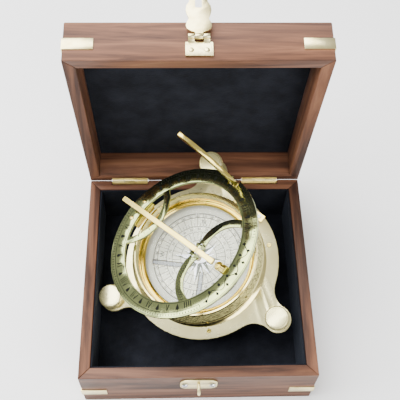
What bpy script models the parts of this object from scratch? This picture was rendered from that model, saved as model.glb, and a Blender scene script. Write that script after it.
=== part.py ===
"""A brass equinoctial pocket sundial with a compass, lying in its own hinged hardwood case.

The world origin is the centre of the case's underside: +X right, +Y back, +Z up, in metres.
The case's lid stands open, and the instrument leans on the open lid's back wall.

Frames, each an empty that its pieces are parented to:
  lid_axis         the lid's hinge line; local Y runs up the open lid, local Z towards its inside
  hasp_axis        the hasp's knuckle on the lid's front wall
  instrument_axis  the compass axis where it meets the top of the base plate, +Z up the axis
  dial_axis        the same point, turned so that +X points away from the hour ring's hinge
  ring_axis        the hour ring's hinge line, +X towards the ring's centre, +Z its upper face
  gnomon_axis      the gnomon's pivot, on the ring's frame
  arc_axis         the latitude arc's pivot, on the dial frame
"""
from math import acos, atan2, cos, hypot, pi, radians, sin

import bmesh
import bpy
from mathutils import Matrix, Vector

MM = 0.001
GAP = 0.3                      # clearance between neighbouring pieces, mm

# ---- case, mm ----
CASE_W = 150.0                 # left to right
CASE_D = 146.0                 # front to back
BASE_H = 43.0                  # lower half
LID_H = 26.0                   # upper half
WALL = 7.0                     # hardwood walls
PANEL = 6.0                    # floor of the base and top of the lid
VELVET = 0.9                   # lining cloth on its card
MITRE_GAP = 0.15               # glue line at each mitred corner
LID_ANGLE = radians(83.0)      # how far the lid stands open from closed
HINGE_OFFSET = 0.15            # hinge line behind the back face
HINGE_X = (-46.7, 46.7)        # middle of each hinge
HINGE_LEN = 25.5
KNUCKLE_R = 0.9
HINGE_PIN_R = 0.4
LEAF_T = 0.7
LEAF_W = 3.0

# ---- instrument, mm; heights are above the top of the base plate ----
INSTRUMENT_AT = (3.3, 10.2, 37.5)
LEAN = radians(18.5)           # tilt of the compass axis
LEAN_TOWARDS = radians(-128.0) # to the front and left
SPIN = radians(-11.0)
PLATE_R = 53.0
PLATE_T = 3.0
SCREW_CIRCLE = 65.5            # the three levelling screws stand on this radius
SCREW_ANGLES = (-30.0, 90.0, 210.0)
LOBE_R = 8.8
FILLET_R = 14.0
SCREW_NAMES = ("right", "rear", "left")
SCREW_HEAD_R = 7.8
SCREW_HEAD_T = 7.0
SCREW_SHANK_R = 2.4
SCREW_TOPS = (8.5, 20.0, 11.0) # top of each head
SHANK_L = 16.0                 # shank below the head

DRUM_FOOT_R = 45.0
DRUM_R = 42.0                  # wall below the mouldings
DRUM_MOULD_R = 44.0
DRUM_BORE_R = 38.9
DRUM_H = 26.0
LEDGE_H = 13.0                 # shelf inside the drum that carries the glass
CARD_H = 10.3                  # face of the compass card
FLOOR_H = 7.2                  # drum's inner floor
GLASS_T = 0.9

HINGE_TO_CENTRE = 48.0         # hour ring's hinge line to its centre
RING_HINGE_H = 29.5
RING_OUT = 51.5
RING_IN = 41.5
RING_LOW = 1.8                 # underside of the ring above its hinge line
RING_T = 1.8
RING_OPEN = radians(22.5)
DIAL_TURN = radians(-30.0)
BRACE_TURN = radians(137.0)    # where the brace meets the ring, from the hinge
BRACE_RISE = 7.5               # how far each half of the brace bows
SCALE_R = 25.0                 # small curved scale beside the hinge
SCALE_AT = 50.0
GNOMON_OFF = 16.5              # gnomon's pivot beyond the ring's centre
GNOMON_LONG = 70.0
GNOMON_SHORT = 14.0
GNOMON_W = 3.4
GNOMON_T = 2.0
GNOMON_OPEN = radians(6.0)

ARC_BEYOND = 5.0               # middle of the arc is this far beyond the ring's centre
ARC_SIDE = 48.0                # its distance from the compass axis, to the side
ARC_PIVOT_H = 6.0
ARC_W = 5.6                    # radial width
ARC_T = 2.5
ARC_TOP = radians(79.0)
PIN_R = 0.8

# ---- colours: base colour, roughness, metallic ----
WOOD = ((0.115, 0.045, 0.028, 1.0), 0.42, 0.0)
CLOTH = ((0.010, 0.011, 0.014, 1.0), 0.95, 0.0)
BRASS = ((0.80, 0.64, 0.26, 1.0), 0.18, 1.0)
DARK_BRASS = ((0.40, 0.38, 0.20, 1.0), 0.32, 1.0)
STEEL = ((0.62, 0.63, 0.66, 1.0), 0.22, 1.0)
BLUED = ((0.03, 0.04, 0.07, 1.0), 0.30, 1.0)
CARD = ((0.82, 0.80, 0.70, 1.0), 0.60, 0.0)
GLASS = ((0.90, 0.93, 0.94, 1.0), 0.03, 0.0)
VIAL = ((0.70, 0.82, 0.45, 1.0), 0.05, 0.0)

for item in list(bpy.data.objects):
    bpy.data.objects.remove(item, do_unlink=True)


# ---------------------------------------------------------------- helpers

def material(finish, name):
    """A Principled material of the given finish."""
    colour, roughness, metallic = finish
    made = bpy.data.materials.new(name)
    made.use_nodes = True
    shader = made.node_tree.nodes["Principled BSDF"]
    shader.inputs["Base Color"].default_value = colour
    shader.inputs["Roughness"].default_value = roughness
    shader.inputs["Metallic"].default_value = metallic
    made.diffuse_color = colour
    return made


def empty(name, parent=None, at=(0, 0, 0), turn=None):
    """An empty that stands for a frame; the place is in mm."""
    made = bpy.data.objects.new(name, None)
    bpy.context.collection.objects.link(made)
    made.parent = parent
    made.matrix_local = Matrix.Translation(Vector(at) * MM) @ (turn or Matrix.Identity(4))
    return made


def finish_object(name, bm, parent, finish, smooth=True):
    """Turns a bmesh in mm into an object of its own."""
    bmesh.ops.remove_doubles(bm, verts=bm.verts, dist=1e-4)
    bmesh.ops.recalc_face_normals(bm, faces=bm.faces)
    bmesh.ops.scale(bm, vec=(MM, MM, MM), verts=bm.verts)
    mesh = bpy.data.meshes.new(name)
    bm.to_mesh(mesh)
    bm.free()
    if smooth:
        mesh.shade_smooth()
        mesh.set_sharp_from_angle(angle=radians(35))
    made = bpy.data.objects.new(name, mesh)
    bpy.context.collection.objects.link(made)
    made.parent = parent
    if finish:
        mesh.materials.append(material(finish, name + "_finish"))
    return made


def box(name, low, high, parent=None, finish=None):
    """A box between two corners."""
    bm = bmesh.new()
    bmesh.ops.create_cube(bm, size=1.0)
    low, high = Vector(low), Vector(high)
    for vert in bm.verts:
        vert.co = Vector([low[i] + (vert.co[i] + 0.5) * (high[i] - low[i]) for i in range(3)])
    return finish_object(name, bm, parent, finish, smooth=False)


def prism(name, outline, low, high, parent=None, finish=None, axis="Z"):
    """A closed outline extruded along Z, or along X or Y with the outline in the other two axes."""
    place = {"Z": lambda u, v, w: (u, v, w), "X": lambda u, v, w: (w, u, v), "Y": lambda u, v, w: (v, w, u)}
    bm = bmesh.new()
    ring = [bm.verts.new(place[axis](u, v, low)) for u, v in outline]
    face = bm.faces.new(ring)
    shift = Vector(place[axis](0, 0, high - low))
    moved = bmesh.ops.extrude_face_region(bm, geom=[face])
    verts = [g for g in moved["geom"] if isinstance(g, bmesh.types.BMVert)]
    bmesh.ops.translate(bm, vec=shift, verts=verts)
    return finish_object(name, bm, parent, finish)


def lathe(name, profile, parent=None, finish=None, steps=48, at=(0, 0, 0), turn=None):
    """A closed profile of (radius, height) spun round Z; a radius of 0 closes on the axis."""
    bm = bmesh.new()
    verts = [bm.verts.new((r, 0, z)) for r, z in profile]
    edges = [bm.edges.new((verts[i], verts[(i + 1) % len(verts)])) for i in range(len(verts))
             if not (profile[i][0] == 0 and profile[(i + 1) % len(verts)][0] == 0)]
    bmesh.ops.spin(bm, geom=verts + edges, cent=(0, 0, 0), axis=(0, 0, 1), angle=2 * pi,
                   steps=steps, use_merge=True)
    if turn:
        bmesh.ops.transform(bm, matrix=turn, verts=bm.verts)
    bmesh.ops.translate(bm, vec=at, verts=bm.verts)
    return finish_object(name, bm, parent, finish)


def rod(name, radius, start, end, axis, at=(0, 0), parent=None, finish=None, steps=20):
    """A round rod along X, Y or Z; at gives its place across the other two axes, in order."""
    turn = {"X": Matrix.Rotation(pi / 2, 4, "Y"), "Y": Matrix.Rotation(-pi / 2, 4, "X"), "Z": None}[axis]
    place = {"X": (0, at[0], at[1]), "Y": (at[0], 0, at[1]), "Z": (at[0], at[1], 0)}[axis]
    return lathe(name, [(0, start), (radius, start), (radius, end), (0, end)], parent, finish, steps,
                 at=place, turn=turn)


def combine(target, tool, operation):
    """Adds or cuts one shape with another, which is then only a hidden guide."""
    tool.parent = target.parent
    tool.hide_render = True
    tool.display_type = "WIRE"
    change = target.modifiers.new(operation.lower(), "BOOLEAN")
    change.operation = operation
    change.solver = "EXACT"
    change.object = tool


def cut(target, *tools):
    for tool in tools:
        combine(target, tool, "DIFFERENCE")


def join(target, *tools):
    for tool in tools:
        combine(target, tool, "UNION")


def polar(radius, angle, centre=(0.0, 0.0)):
    return (centre[0] + radius * cos(angle), centre[1] + radius * sin(angle))


def arc(centre, radius, start, end, count):
    """Points along an arc, both ends included."""
    return [polar(radius, start + (end - start) * i / count, centre) for i in range(count + 1)]


def band(centre, radius, width, start, end, count):
    """Outline of a curved band."""
    outer = arc(centre, radius + width / 2, start, end, count)
    inner = arc(centre, radius - width / 2, end, start, count)
    return outer + inner


# ---------------------------------------------------------------- case

def mitred_walls(prefix, low, high, parent, base_y=0.0):
    """Four walls with mitred corners round a rectangle; returns them by side."""
    half_w, half_d = CASE_W / 2, CASE_D / 2
    g = MITRE_GAP / 2
    made = {}
    for side, sign in (("front", -1), ("back", 1)):
        outline = [(-half_w + g, sign * half_d), (half_w - g, sign * half_d),
                   (half_w - WALL - g, sign * (half_d - WALL)), (-half_w + WALL + g, sign * (half_d - WALL))]
        shape = [(x, y + base_y) for x, y in outline]
        made[side] = prism(prefix + "_wall_" + side, shape, low, high, parent, WOOD)
    for side, sign in (("left", -1), ("right", 1)):
        outline = [(sign * half_w, -half_d + g), (sign * half_w, half_d - g),
                   (sign * (half_w - WALL), half_d - WALL - g), (sign * (half_w - WALL), -half_d + WALL + g)]
        shape = [(x, y + base_y) for x, y in outline]
        made[side] = prism(prefix + "_wall_" + side, shape, low, high, parent, WOOD)
    return made


def build_base():
    """Lower half of the case: floor, walls, lining, catch and corner straps."""
    walls = mitred_walls("base", 0.0, BASE_H, None)
    in_w, in_d = CASE_W / 2 - WALL - MITRE_GAP, CASE_D / 2 - WALL - MITRE_GAP
    box("base_floor", (-in_w, -in_d, 0), (in_w, in_d, PANEL), None, WOOD)
    low, top, t = PANEL + GAP, BASE_H - 1.0, VELVET
    gap = 0.1
    box("floor_lining", (-in_w, -in_d, low), (in_w, in_d, low + t), None, CLOTH)
    for side, sign in (("front", -1), ("back", 1)):
        y0, y1 = sorted((sign * (in_d - gap), sign * (in_d - gap - t)))
        box("lining_" + side, (-in_w + t + 0.4, y0, low + t + gap), (in_w - t - 0.4, y1, top), None, CLOTH)
    for side, sign in (("left", -1), ("right", 1)):
        x0, x1 = sorted((sign * (in_w - gap), sign * (in_w - gap - t)))
        box("lining_" + side, (x0, -in_d + gap, low + t + gap), (x1, in_d - gap, top), None, CLOTH)
    for x in HINGE_X:
        recess(walls["back"], x, CASE_D / 2 - LEAF_W - 0.5, CASE_D / 2 + 1, BASE_H - LEAF_T - 0.3, BASE_H + 1)
    build_catch()
    for side, sign in (("left", -1), ("right", 1)):
        corner_strap("base_corner_" + side, sign, -CASE_D / 2, 13.0, 8.0, 16.0, None)


def recess(wall, x, y0, y1, z0, z1):
    """A shallow bed for a hinge leaf."""
    cut(wall, box("bed", (x - HINGE_LEN / 2 - 0.3, y0, z0), (x + HINGE_LEN / 2 + 0.3, y1, z1)))


def corner_strap(name, sign, face_y, low, width, arm, parent):
    """A thin brass strap round a front corner, standing just proud of the wood."""
    thick, gap = 0.5, 0.1
    out_x, out_y = CASE_W / 2 + gap + thick, face_y - gap - thick
    in_x, in_y = CASE_W / 2 + gap, face_y - gap
    outline = [(out_x, out_y), (out_x, face_y + arm), (in_x, face_y + arm), (in_x, in_y),
               (in_x - arm, in_y), (in_x - arm, out_y)]
    shape = [(sign * x, y) for x, y in outline]
    prism(name, shape, low, low + width, parent, BRASS)


def build_catch():
    """Plate, staple and screws on the base's front, which the hasp drops over."""
    face = -CASE_D / 2
    middle, half_w, half_h, t = BASE_H - 12.0, 11.8, 8.0, 0.8
    round_r = 5.0
    x, dz = half_w - round_r, half_h - round_r
    ends = arc((x, middle - dz), round_r, -pi / 2, 0, 5) + arc((x, middle + dz), round_r, 0, pi / 2, 5)
    ends += arc((-x, middle + dz), round_r, pi / 2, pi, 5) + arc((-x, middle - dz), round_r, pi, 3 * pi / 2, 5)
    plate = prism("catch_plate", [(z, x) for x, z in ends], face - 0.1 - t, face - 0.1, None, BRASS, "Y")
    for side, x in (("left", -8.7), ("right", 8.7)):
        cut(plate, rod("catch_hole_" + side, 1.3, face - 3, face + 1, "Y", (x, middle)))
        lathe("catch_screw_" + side, [(0, 0), (1.0, 0), (1.0, 1.0), (2.1, 1.3), (1.7, 2.0), (0, 2.2)],
              None, STEEL, 20, at=(x, face - 0.1, middle), turn=Matrix.Rotation(pi / 2, 4, "X"))
    steps, wire, rise, reach = 10, 1.0, 2.6, 5.6
    foot = face - 0.1 - t - GAP
    path = [Vector((0, foot, middle + rise))]
    path += [Vector((0, foot - reach + rise - rise * sin(pi * i / steps), middle + rise * cos(pi * i / steps)))
             for i in range(steps + 1)]
    path.append(Vector((0, foot, middle - rise)))
    tube("catch_staple", path, wire, None, BRASS)


def tube(name, path, radius, parent, finish, sides=10):
    """A round wire along a path in the YZ plane."""
    bm = bmesh.new()
    rings = []
    for i, point in enumerate(path):
        along = (path[min(i + 1, len(path) - 1)] - path[max(i - 1, 0)]).normalized()
        across = Vector((1, 0, 0))
        other = along.cross(across)
        rings.append([bm.verts.new(point + radius * (across * cos(2 * pi * k / sides) + other * sin(2 * pi * k / sides)))
                      for k in range(sides)])
    for first, second in zip(rings, rings[1:]):
        for k in range(sides):
            bm.faces.new((first[k], first[(k + 1) % sides], second[(k + 1) % sides], second[k]))
    bm.faces.new(rings[0])
    bm.faces.new(rings[-1])
    return finish_object(name, bm, parent, finish)


def build_lid():
    """Upper half of the case, drawn closed and turned open on its hinge line."""
    at = (0, CASE_D / 2 + HINGE_OFFSET, BASE_H)
    axis = empty("lid_axis", None, at, Matrix.Rotation(-LID_ANGLE, 4, "X"))
    shift = -(CASE_D / 2 + HINGE_OFFSET)
    gap = 0.2
    walls = mitred_walls("lid", gap, LID_H, axis, shift)
    in_w, in_d = CASE_W / 2 - WALL - MITRE_GAP, CASE_D / 2 - WALL - MITRE_GAP
    box("lid_panel", (-in_w, shift - in_d, LID_H - PANEL), (in_w, shift + in_d, LID_H), axis, WOOD)
    box("lid_lining", (-in_w, shift - in_d, LID_H - PANEL - 0.1 - VELVET),
        (in_w, shift + in_d, LID_H - PANEL - 0.1), axis, CLOTH)
    back = -HINGE_OFFSET
    for x in HINGE_X:
        recess(walls["back"], x, back - LEAF_W - 0.5, back + 1, -1, gap + LEAF_T + 0.3)
    for side, sign in (("left", -1), ("right", 1)):
        corner_strap("lid_corner_" + side, sign, shift - CASE_D / 2, 7.5, 7.4, 17.0, axis)
    build_hasp(axis, shift - CASE_D / 2)
    return axis


def leaf(name, x, knuckles, direction, low, parent):
    """One hinge leaf: a thin plate with its knuckles round the hinge line."""
    plate = box(name, (x - HINGE_LEN / 2, -HINGE_OFFSET - LEAF_W + 0.3, low),
                (x + HINGE_LEN / 2, -KNUCKLE_R - 0.25, low + LEAF_T), parent, BRASS)
    for i, (start, end) in enumerate(knuckles):
        hoop = [(KNUCKLE_R, start), (KNUCKLE_R, end), (HINGE_PIN_R + 0.2, end), (HINGE_PIN_R + 0.2, start)]
        ear = lathe(name + "_ear%d" % i, hoop, None, None, 20, at=(x, 0, 0), turn=Matrix.Rotation(pi / 2, 4, "Y"))
        middle = direction * 0.35
        web = box(name + "_web%d" % i, (x + start, -KNUCKLE_R - 1.6, min(low + 0.1, middle)),
                  (x + end, -HINGE_PIN_R - 0.35, max(low + LEAF_T - 0.1, middle)))
        join(plate, web, ear)
    return plate


def build_hinges(lid_axis):
    """Two butt hinges: leaves let into the rims, knuckles behind the back face."""
    base_frame = empty("base_hinge_frame", None, lid_axis.location / MM)
    third = HINGE_LEN / 3
    outer = ((-HINGE_LEN / 2, -third / 2 - 0.15), (third / 2 + 0.15, HINGE_LEN / 2))
    inner = ((-third / 2 + 0.15, third / 2 - 0.15),)
    for side, x in zip(("left", "right"), HINGE_X):
        leaf("hinge_base_leaf_" + side, x, outer, -1, -LEAF_T - 0.1, base_frame)
        leaf("hinge_lid_leaf_" + side, x, inner, 1, 0.35, lid_axis)
        rod("hinge_pin_" + side, HINGE_PIN_R, x - HINGE_LEN / 2 + 0.1, x + HINGE_LEN / 2 - 0.1, "X", (0, 0),
            base_frame, STEEL, 12)


HASP_KNUCKLE_Z = 14.0          # knuckle above the lid's rim, with the lid closed
HASP_OUT = 3.2                 # knuckle in front of the lid's front face
HASP_LEN = 32.5


def build_hasp(lid_axis, face):
    """Hasp on the lid's front wall, turned up away from the rim."""
    plate = box("hasp_plate", (-7.6, face - 1.2, 2.7), (7.6, face - 0.1, HASP_KNUCKLE_Z - 2.3), lid_axis, BRASS)
    ear_turn = Matrix.Rotation(pi / 2, 4, "Y")
    for side, x0, x1 in (("left", -6.0, -2.6), ("right", 2.6, 6.0)):
        ear = lathe("hasp_ear_" + side, [(1.7, x0), (1.7, x1), (0.9, x1), (0.9, x0)], None, None, 20,
                    at=(0, face - HASP_OUT, HASP_KNUCKLE_Z), turn=ear_turn)
        web = prism("hasp_web_" + side, [(face - 0.3, HASP_KNUCKLE_Z - 3.0), (face - 1.1, HASP_KNUCKLE_Z - 3.0),
                                         (face - 3.2, HASP_KNUCKLE_Z - 1.6), (face - 2.2, HASP_KNUCKLE_Z - 1.1),
                                         (face - 0.3, HASP_KNUCKLE_Z - 1.6)], x0, x1, None, None, "X")
        join(plate, web, ear)
    for side, x in (("left", -4.35), ("right", 4.35)):
        lathe("hasp_rivet_" + side, [(0, 0), (1.5, 0), (1.3, 0.4), (0.7, 0.6), (0, 0.7)], lid_axis, BRASS, 20,
              at=(x, face - 1.2 - 0.1, 6.4), turn=Matrix.Rotation(pi / 2, 4, "X"))
    rod("hasp_pin", 0.6, -5.9, 5.9, "X", (face - HASP_OUT, HASP_KNUCKLE_Z), lid_axis, STEEL, 12)
    axis = empty("hasp_axis", lid_axis, (0, face - HASP_OUT, HASP_KNUCKLE_Z))
    half = [(2.2, 0.0), (2.2, 2.3), (4.6, 3.1), (6.6, 4.6), (7.2, 7.0), (6.6, 9.2), (5.45, 11.6), (6.6, 14.6),
            (7.2, 17.4), (6.8, 20.4), (5.2, 23.4), (5.0, 25.0), (4.4, 28.4), (3.25, HASP_LEN)]
    outline = [(x, z) for x, z in half] + [(-x, z) for x, z in reversed(half)]
    strap = prism("hasp_strap", [(z, x) for x, z in outline], -0.9, 0.3, axis, BRASS, "Y")
    ear = rod("hasp_strap_ear", 1.7, -2.15, 2.15, "X")
    join(strap, ear)
    slot = [(1.9, 19.0), (1.9, 30.0), (-1.9, 30.0), (-1.9, 19.0)]
    cut(strap, prism("hasp_slot", [(z, x) for x, z in slot], -4, 4, None, None, "Y"),
        rod("hasp_bore", 0.9, -5, 5, "X"))


# ---------------------------------------------------------------- instrument

def plate_outline():
    """Round body with three lobes, each joined to it by a concave fillet."""
    reach = hypot(0, SCREW_CIRCLE)
    # Fillet circle touches the body and the lobe from outside.
    to_body, to_lobe = PLATE_R + FILLET_R, LOBE_R + FILLET_R
    at_axis = acos((to_body ** 2 + reach ** 2 - to_lobe ** 2) / (2 * to_body * reach))
    points = []
    for degrees in SCREW_ANGLES:
        middle = radians(degrees)
        for sign in (-1, 1):
            centre = polar(to_body, middle + sign * at_axis)
            lobe = polar(SCREW_CIRCLE, middle)
            body_end = atan2(-centre[1], -centre[0])
            lobe_end = atan2(lobe[1] - centre[1], lobe[0] - centre[0])
            turn = (lobe_end - body_end + pi) % (2 * pi) - pi
            fillet = arc(centre, FILLET_R, body_end, body_end + turn, 6)
            if sign < 0:
                points += fillet
                start = atan2(centre[1] - lobe[1], centre[0] - lobe[0])
            else:
                end = atan2(centre[1] - lobe[1], centre[0] - lobe[0])
                sweep = (end - start) % (2 * pi)
                points += arc(lobe, LOBE_R, start, start + sweep, 16)[1:-1]
                points += list(reversed(fillet))
        body_from = middle + at_axis
        body_to = middle + radians(120) - at_axis
        points += arc((0, 0), PLATE_R, body_from, body_to, 12)[1:-1]
    return points


def build_instrument():
    lean_axis = Vector((-sin(LEAN_TOWARDS), cos(LEAN_TOWARDS), 0))
    turn = Matrix.Rotation(LEAN, 4, lean_axis) @ Matrix.Rotation(SPIN, 4, "Z")
    body = empty("instrument_axis", None, INSTRUMENT_AT, turn)
    plate = prism("base_plate", plate_outline(), -PLATE_T, 0, body, BRASS)
    for name, degrees, top in zip(SCREW_NAMES, SCREW_ANGLES, SCREW_TOPS):
        x, y = polar(SCREW_CIRCLE, radians(degrees))
        cut(plate, rod("screw_hole_" + name, SCREW_SHANK_R + 0.35, -6, 3, "Z", (x, y)))
        levelling_screw(name, x, y, top, body)
    build_compass(body)
    dial = empty("dial_axis", body, (0, 0, 0), Matrix.Rotation(DIAL_TURN, 4, "Z"))
    build_ring_bracket(dial)
    build_ring(dial)
    build_arc(dial)


def levelling_screw(name, x, y, top, parent):
    """Thumb screw with a thick round head, whose top is at the given height."""
    head = top - SCREW_HEAD_T
    tip = head - SHANK_L
    axis = empty("screw_axis_" + name, parent, (x, y, 0))
    r = SCREW_HEAD_R
    profile = [(0, tip), (1.5, tip), (SCREW_SHANK_R, tip + 1.2), (SCREW_SHANK_R, head), (r - 0.6, head),
               (r, head + 0.6), (r, top - 0.8), (r - 0.8, top), (0, top)]
    lathe("levelling_screw_" + name, profile, axis, BRASS, 32)


def build_compass(body):
    """Drum, bezel, glass, card, spirit levels and needle."""
    drum = lathe("compass_drum", [
        (DRUM_FOOT_R, 0.3), (DRUM_FOOT_R, 1.6), (DRUM_FOOT_R - 1.4, 2.4), (DRUM_R, 4.0), (DRUM_R, 10.6),
        (DRUM_MOULD_R, 11.4), (DRUM_MOULD_R, 12.8), (DRUM_R + 0.8, 13.3), (DRUM_MOULD_R + 0.6, 14.3),
        (DRUM_MOULD_R + 0.6, 15.5), (DRUM_MOULD_R + 0.2, 15.9), (DRUM_R - 0.9, DRUM_H - 0.7),
        (DRUM_R - 1.3, DRUM_H), (DRUM_BORE_R + 0.9, DRUM_H),
        (DRUM_BORE_R + 0.5, DRUM_H - 0.6), (DRUM_BORE_R, LEDGE_H), (DRUM_BORE_R - 1.6, LEDGE_H),
        (DRUM_BORE_R - 1.6, CARD_H - 0.9), (DRUM_BORE_R - 3.2, CARD_H - 0.9), (DRUM_BORE_R - 3.2, FLOOR_H),
        (0, FLOOR_H), (0, FLOOR_H - 1.4), (DRUM_BORE_R - 1.5, FLOOR_H - 1.4), (DRUM_BORE_R - 1.5, 0.3)],
        body, BRASS, 56)
    glass_low = LEDGE_H + 0.2
    glass_top = glass_low + GLASS_T
    lathe("compass_glass", [(0, glass_low), (DRUM_BORE_R - 0.4, glass_low), (DRUM_BORE_R - 0.4, glass_top),
                            (0, glass_top)], body, GLASS, 48)
    r, h = DRUM_BORE_R - 0.35, glass_top + 0.2
    lathe("bezel_ring", [(r - 3.0, h), (r, h), (r, h + 0.5), (r - 0.8, h + 0.6), (r - 1.2, h + 0.3), (r - 1.6, h + 0.8),
                         (r - 2.4, h + 1.2), (r - 3.0, h + 0.7)], body, BRASS, 56)
    card = lathe("compass_card", [(1.0, CARD_H - 0.6), (DRUM_BORE_R - 1.9, CARD_H - 0.6),
                                  (DRUM_BORE_R - 1.9, CARD_H), (1.0, CARD_H)], body, CARD, 48)
    vial_r, vial_h = 1.5, FLOOR_H + 1.8
    levels = (("cross", VIAL_CROSS, pi / 180 * VIAL_TURN), ("long", VIAL_LONG, pi / 180 * (VIAL_TURN + 90)))
    for name, (x, y), turn in levels:
        place = Matrix.Translation((x, y, vial_h)) @ Matrix.Rotation(turn, 4, "Z")
        half = VIAL_LEN / 2
        lie = place @ Matrix.Rotation(pi / 2, 4, "Y")
        lathe("level_vial_" + name, [(0, -half), (1.0, -half), (vial_r, -half + 0.6), (vial_r, half - 0.6),
                                     (1.0, half), (0, half)], body, VIAL, 16, turn=lie)
        slot = box("vial_slot_" + name, (-half - 0.5, -vial_r - 0.4, -3), (half + 0.5, vial_r + 0.4, 5), body)
        slot.data.transform(Matrix.Scale(1 / MM, 4))
        slot.data.transform(place)
        slot.data.transform(Matrix.Scale(MM, 4))
        cut(card, slot)
    lathe("needle_post", [(0, FLOOR_H + 0.3), (1.6, FLOOR_H + 0.3), (1.6, FLOOR_H + 0.9), (0.6, FLOOR_H + 1.2),
                          (0.6, CARD_H + 0.9), (0, CARD_H + 1.6)], body, STEEL, 12)
    build_needle(body)


VIAL_CROSS = (-20.0, -6.0)     # middle of each spirit level on the card
VIAL_LONG = (3.5, -20.5)
VIAL_TURN = 0.0
VIAL_LEN = 22.0


def build_needle(body):
    """Diamond-shaped blade on a hollow cap that hangs over the post's point."""
    axis = empty("needle_axis", body, (0, 0, 0), Matrix.Rotation(radians(3), 4, "Z"))
    low = CARD_H + 0.8
    blade = [(-10.5, 0), (-4.0, 2.8), (0, 4.2), (4.0, 2.8), (10.5, 0), (4.0, -2.8), (0, -4.2), (-4.0, -2.8)]
    needle = prism("compass_needle", blade, low, low + 0.5, axis, STEEL)
    cut(needle, rod("needle_eye", 1.3, 8, 14, "Z"))
    cap = low + 0.8
    lathe("needle_cap", [(1.0, low - 0.3), (1.0, cap), (0, cap + 0.5), (0, cap + 1.0), (1.0, cap + 0.7),
                         (2.3, cap + 0.2), (2.3, cap - 0.1), (1.15, cap - 0.1), (1.15, low - 0.3)], axis, BRASS, 20)


BRACKET_HALF = 9.0
KNUCKLE_HALF = 4.0


def build_ring_bracket(dial):
    """Arm screwed to the drum's wall that carries the hour ring's hinge."""
    x, h = -HINGE_TO_CENTRE, RING_HINGE_H
    wall = -(DRUM_MOULD_R + 1.1)
    outline = [(wall, 15.0), (wall, 26.0), (x + 1.5, h - 1.9), (x + 1.5, h + 0.6), (x + 0.65, h + 1.4),
               (x - 0.65, h + 1.4), (x - 1.5, h + 0.6), (x - 1.5, h - 2.5), (wall - 2.0, 22.0), (wall - 2.0, 15.0)]
    bracket = prism("ring_hinge_bracket", [(v, u) for u, v in outline], -BRACKET_HALF, BRACKET_HALF, dial,
                    BRASS, "Y")
    window = box("bracket_window", (x - 4, -KNUCKLE_HALF - 0.35, h - 3.2), (x + 2.6, KNUCKLE_HALF + 0.35, h + 4))
    bore = rod("bracket_bore", PIN_R + 0.2, -20, 20, "Y", (x, h), steps=16)
    seat = rod("bracket_seat", DRUM_MOULD_R + 0.95, 5, 40, "Z", (0, 0), steps=96)
    cut(bracket, window, bore, seat)
    rod("ring_hinge_pin", PIN_R, -BRACKET_HALF, BRACKET_HALF, "Y", (x, h), dial, STEEL, 14)


def bowed_arm(start, end, rise, width, count=10):
    """Outline of a curved arm between two points, bowed to -X by the given rise."""
    a, b = Vector(start), Vector(end)
    chord = b - a
    half = chord.length / 2
    radius = (half * half + rise * rise) / (2 * rise)
    normal = Vector((-chord.y, chord.x)).normalized()
    if normal.x < 0:
        normal = -normal
    centre = (a + b) / 2 + normal * (radius - rise)
    first = atan2(a.y - centre.y, a.x - centre.x)
    last = atan2(b.y - centre.y, b.x - centre.x)
    last = first + (last - first + pi) % (2 * pi) - pi
    return band(centre, radius, width, first, last, count)


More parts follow.
